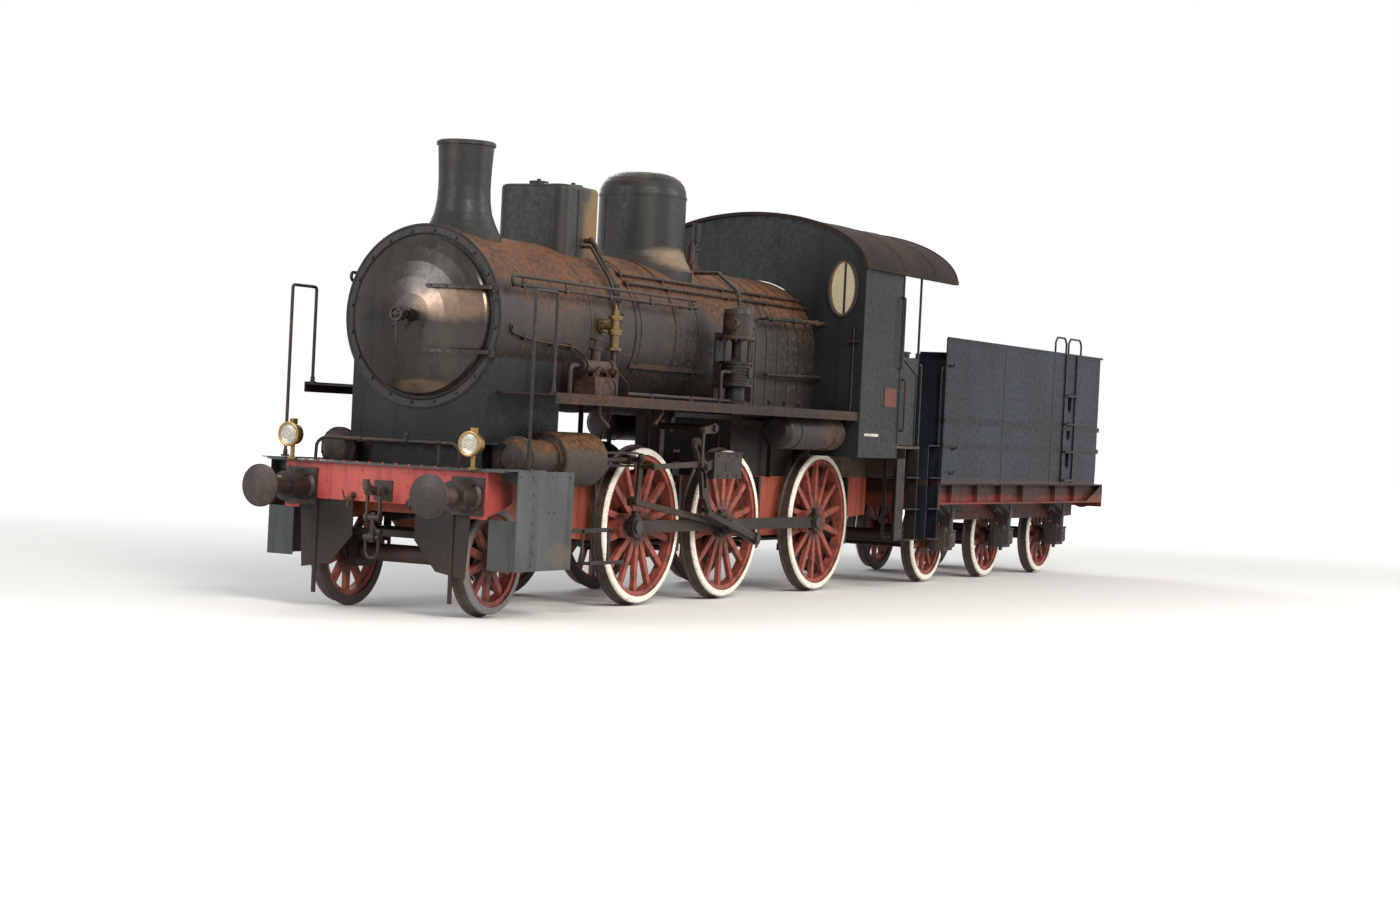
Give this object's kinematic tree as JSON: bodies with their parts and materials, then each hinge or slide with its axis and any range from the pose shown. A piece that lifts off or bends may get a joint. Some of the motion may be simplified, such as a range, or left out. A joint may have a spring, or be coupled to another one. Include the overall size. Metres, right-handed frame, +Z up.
{
  "type": "steam locomotive with tender",
  "caption": "Old steam locomotive with outside valve gear and a tender, rusty black with a red beam and red spoked wheels with white rims.",
  "frame": {"origin": "middle of the bounding box at its bottom, the floor under the wheel flanges", "axes": "+X forward to the smokebox, +Y to the left side, +Z up"},
  "size_m": [16.55, 2.946, 4.3298],
  "materials": {
    "black_frame": "matt black paint with grease and rust",
    "red_beam": "faded red paint",
    "buffer_iron": "dark weathered iron",
    "grey_apron": "matt grey paint",
    "rusty_smokebox": "black paint rusting brown",
    "graphite_door": "graphite black with a sheen",
    "black_sheet": "dull black paint",
    "tender_black": "dull black paint",
    "bare_steel": "oily dark steel",
    "brass": "tarnished brass",
    "glass": "clear glass",
    "wheel_red": "brick red paint with a white tyre edge"
  },
  "bodies": {
    "engine": {"air_compressor": "bare_steel", "air_reservoirs": "black_sheet", "ashpan": "black_frame", "axle_boxes": "black_frame", "backhead": "black_sheet", "boiler_barrel": "rusty_smokebox", "brake_gear": "black_frame", "cab_controls": "bare_steel", "cab_floor": "black_frame", "cab_front": "black_sheet", "cab_roof": "black_sheet", "cab_sides": "black_sheet", "cab_steps": "black_frame", "cab_windows": "glass", "check_valves": "brass", "chimney": "black_sheet", "cylinder_block": "black_frame", "drawbar": "black_frame", "firebox": "rusty_smokebox", "front_beam": "red_beam", "front_buffers": "buffer_iron", "front_coupling": "buffer_iron", "front_platform": "grey_apron", "handrails": "bare_steel", "headlamp_lenses": "glass", "headlamps": "brass", "leading_truck": "black_frame", "main_frame": "black_frame", "pipework": "bare_steel", "rail_guards": "black_frame", "running_boards": "black_frame", "safety_valves": "brass", "sandbox": "black_sheet", "smokebox": "rusty_smokebox", "smokebox_saddle": "black_frame", "steam_dome": "black_sheet", "valve_chests": "rusty_smokebox", "valve_gear": "bare_steel"},
    "tender": {"tender_axle_boxes": "black_frame", "tender_brake_gear": "black_frame", "tender_buffers": "buffer_iron", "tender_filler": "tender_black", "tender_fittings": "tender_black", "tender_frame": "red_beam", "tender_tank": "tender_black"},
    "coupling_rod_left": {"coupling_rod_left": "bare_steel"},
    "coupling_rod_right": {"coupling_rod_right": "bare_steel"},
    "driving_wheelset_1": {"driving_wheelset_1": "wheel_red"},
    "driving_wheelset_2": {"driving_wheelset_2": "wheel_red"},
    "driving_wheelset_3": {"driving_wheelset_3": "wheel_red"},
    "eccentric_rod_left": {"eccentric_rod_left": "bare_steel"},
    "eccentric_rod_right": {"eccentric_rod_right": "bare_steel"},
    "leading_wheelset": {"leading_wheelset": "wheel_red"},
    "lever_rod_left": {"lever_rod_left": "bare_steel"},
    "lever_rod_right": {"lever_rod_right": "bare_steel"},
    "smokebox_door": {"smokebox_door": "graphite_door"},
    "tender_lid": {"tender_lid": "tender_black"},
    "tender_wheelset_1": {"tender_wheelset_1": "wheel_red"},
    "tender_wheelset_2": {"tender_wheelset_2": "wheel_red"},
    "tender_wheelset_3": {"tender_wheelset_3": "wheel_red"}
  },
  "joints": [
    {"name": "smokebox_door_hinge", "type": "hinge", "parent": "engine", "child": "smokebox_door", "pos_m": [7.19, 0.762, 2.613], "axis": [0, 0, 1], "range_deg": [0, 110]},
    {"name": "leading_axle", "type": "hinge", "parent": "engine", "child": "leading_wheelset", "pos_m": [7.075, 0, 0.504], "axis": [0, 1, 0], "continuous": true},
    {"name": "driving_axle_1", "type": "hinge", "parent": "engine", "child": "driving_wheelset_1", "pos_m": [4.415, 0, 0.783], "axis": [0, 1, 0], "continuous": true},
    {"name": "driving_axle_2", "type": "hinge", "parent": "engine", "child": "driving_wheelset_2", "pos_m": [2.625, 0, 0.783], "axis": [0, 1, 0], "continuous": true},
    {"name": "driving_axle_3", "type": "hinge", "parent": "engine", "child": "driving_wheelset_3", "pos_m": [0.365, 0, 0.783], "axis": [0, 1, 0], "continuous": true},
    {"name": "coupling_pin_left", "type": "hinge", "parent": "driving_wheelset_2", "child": "coupling_rod_left", "pos_m": [2.975, 0.932, 0.783], "axis": [0, 1, 0], "continuous": true},
    {"name": "lever_pin_left", "type": "hinge", "parent": "driving_wheelset_2", "child": "lever_rod_left", "pos_m": [2.975, 1.01, 0.783], "axis": [0, 1, 0], "continuous": true},
    {"name": "eccentric_pin_left", "type": "hinge", "parent": "driving_wheelset_2", "child": "eccentric_rod_left", "pos_m": [2.48, 1.103, 0.643], "axis": [0, 1, 0], "continuous": true},
    {"name": "coupling_pin_right", "type": "hinge", "parent": "driving_wheelset_2", "child": "coupling_rod_right", "pos_m": [2.625, -0.932, 1.133], "axis": [0, 1, 0], "continuous": true},
    {"name": "lever_pin_right", "type": "hinge", "parent": "driving_wheelset_2", "child": "lever_rod_right", "pos_m": [2.625, -1.01, 1.133], "axis": [0, 1, 0], "continuous": true},
    {"name": "eccentric_pin_right", "type": "hinge", "parent": "driving_wheelset_2", "child": "eccentric_rod_right", "pos_m": [2.765, -1.103, 0.638], "axis": [0, 1, 0], "continuous": true},
    {"name": "tender_drawpin", "type": "hinge", "parent": "engine", "child": "tender", "pos_m": [-1.475, 0, 1.028], "axis": [0, 0, 1], "range_deg": [-5, 5]},
    {"name": "tender_axle_1", "type": "hinge", "parent": "tender", "child": "tender_wheelset_1", "pos_m": [-2.815, 0, 0.535], "axis": [0, 1, 0], "continuous": true},
    {"name": "tender_axle_2", "type": "hinge", "parent": "tender", "child": "tender_wheelset_2", "pos_m": [-4.79, 0, 0.535], "axis": [0, 1, 0], "continuous": true},
    {"name": "tender_axle_3", "type": "hinge", "parent": "tender", "child": "tender_wheelset_3", "pos_m": [-6.795, 0, 0.535], "axis": [0, 1, 0], "continuous": true},
    {"name": "tender_lid_hinge", "type": "hinge", "parent": "tender", "child": "tender_lid", "pos_m": [-5.855, 0, 2.884], "axis": [0, 1, 0], "range_deg": [0, 100]}
  ],
  "couplings": [
    {"joint": "driving_axle_1", "follows": "driving_axle_2", "ratio": 1},
    {"joint": "driving_axle_3", "follows": "driving_axle_2", "ratio": 1},
    {"joint": "coupling_pin_left", "follows": "driving_axle_2", "ratio": -1},
    {"joint": "lever_pin_left", "follows": "driving_axle_2", "ratio": -1},
    {"joint": "eccentric_pin_left", "follows": "driving_axle_2", "ratio": -1},
    {"joint": "coupling_pin_right", "follows": "driving_axle_2", "ratio": -1},
    {"joint": "lever_pin_right", "follows": "driving_axle_2", "ratio": -1},
    {"joint": "eccentric_pin_right", "follows": "driving_axle_2", "ratio": -1}
  ]
}
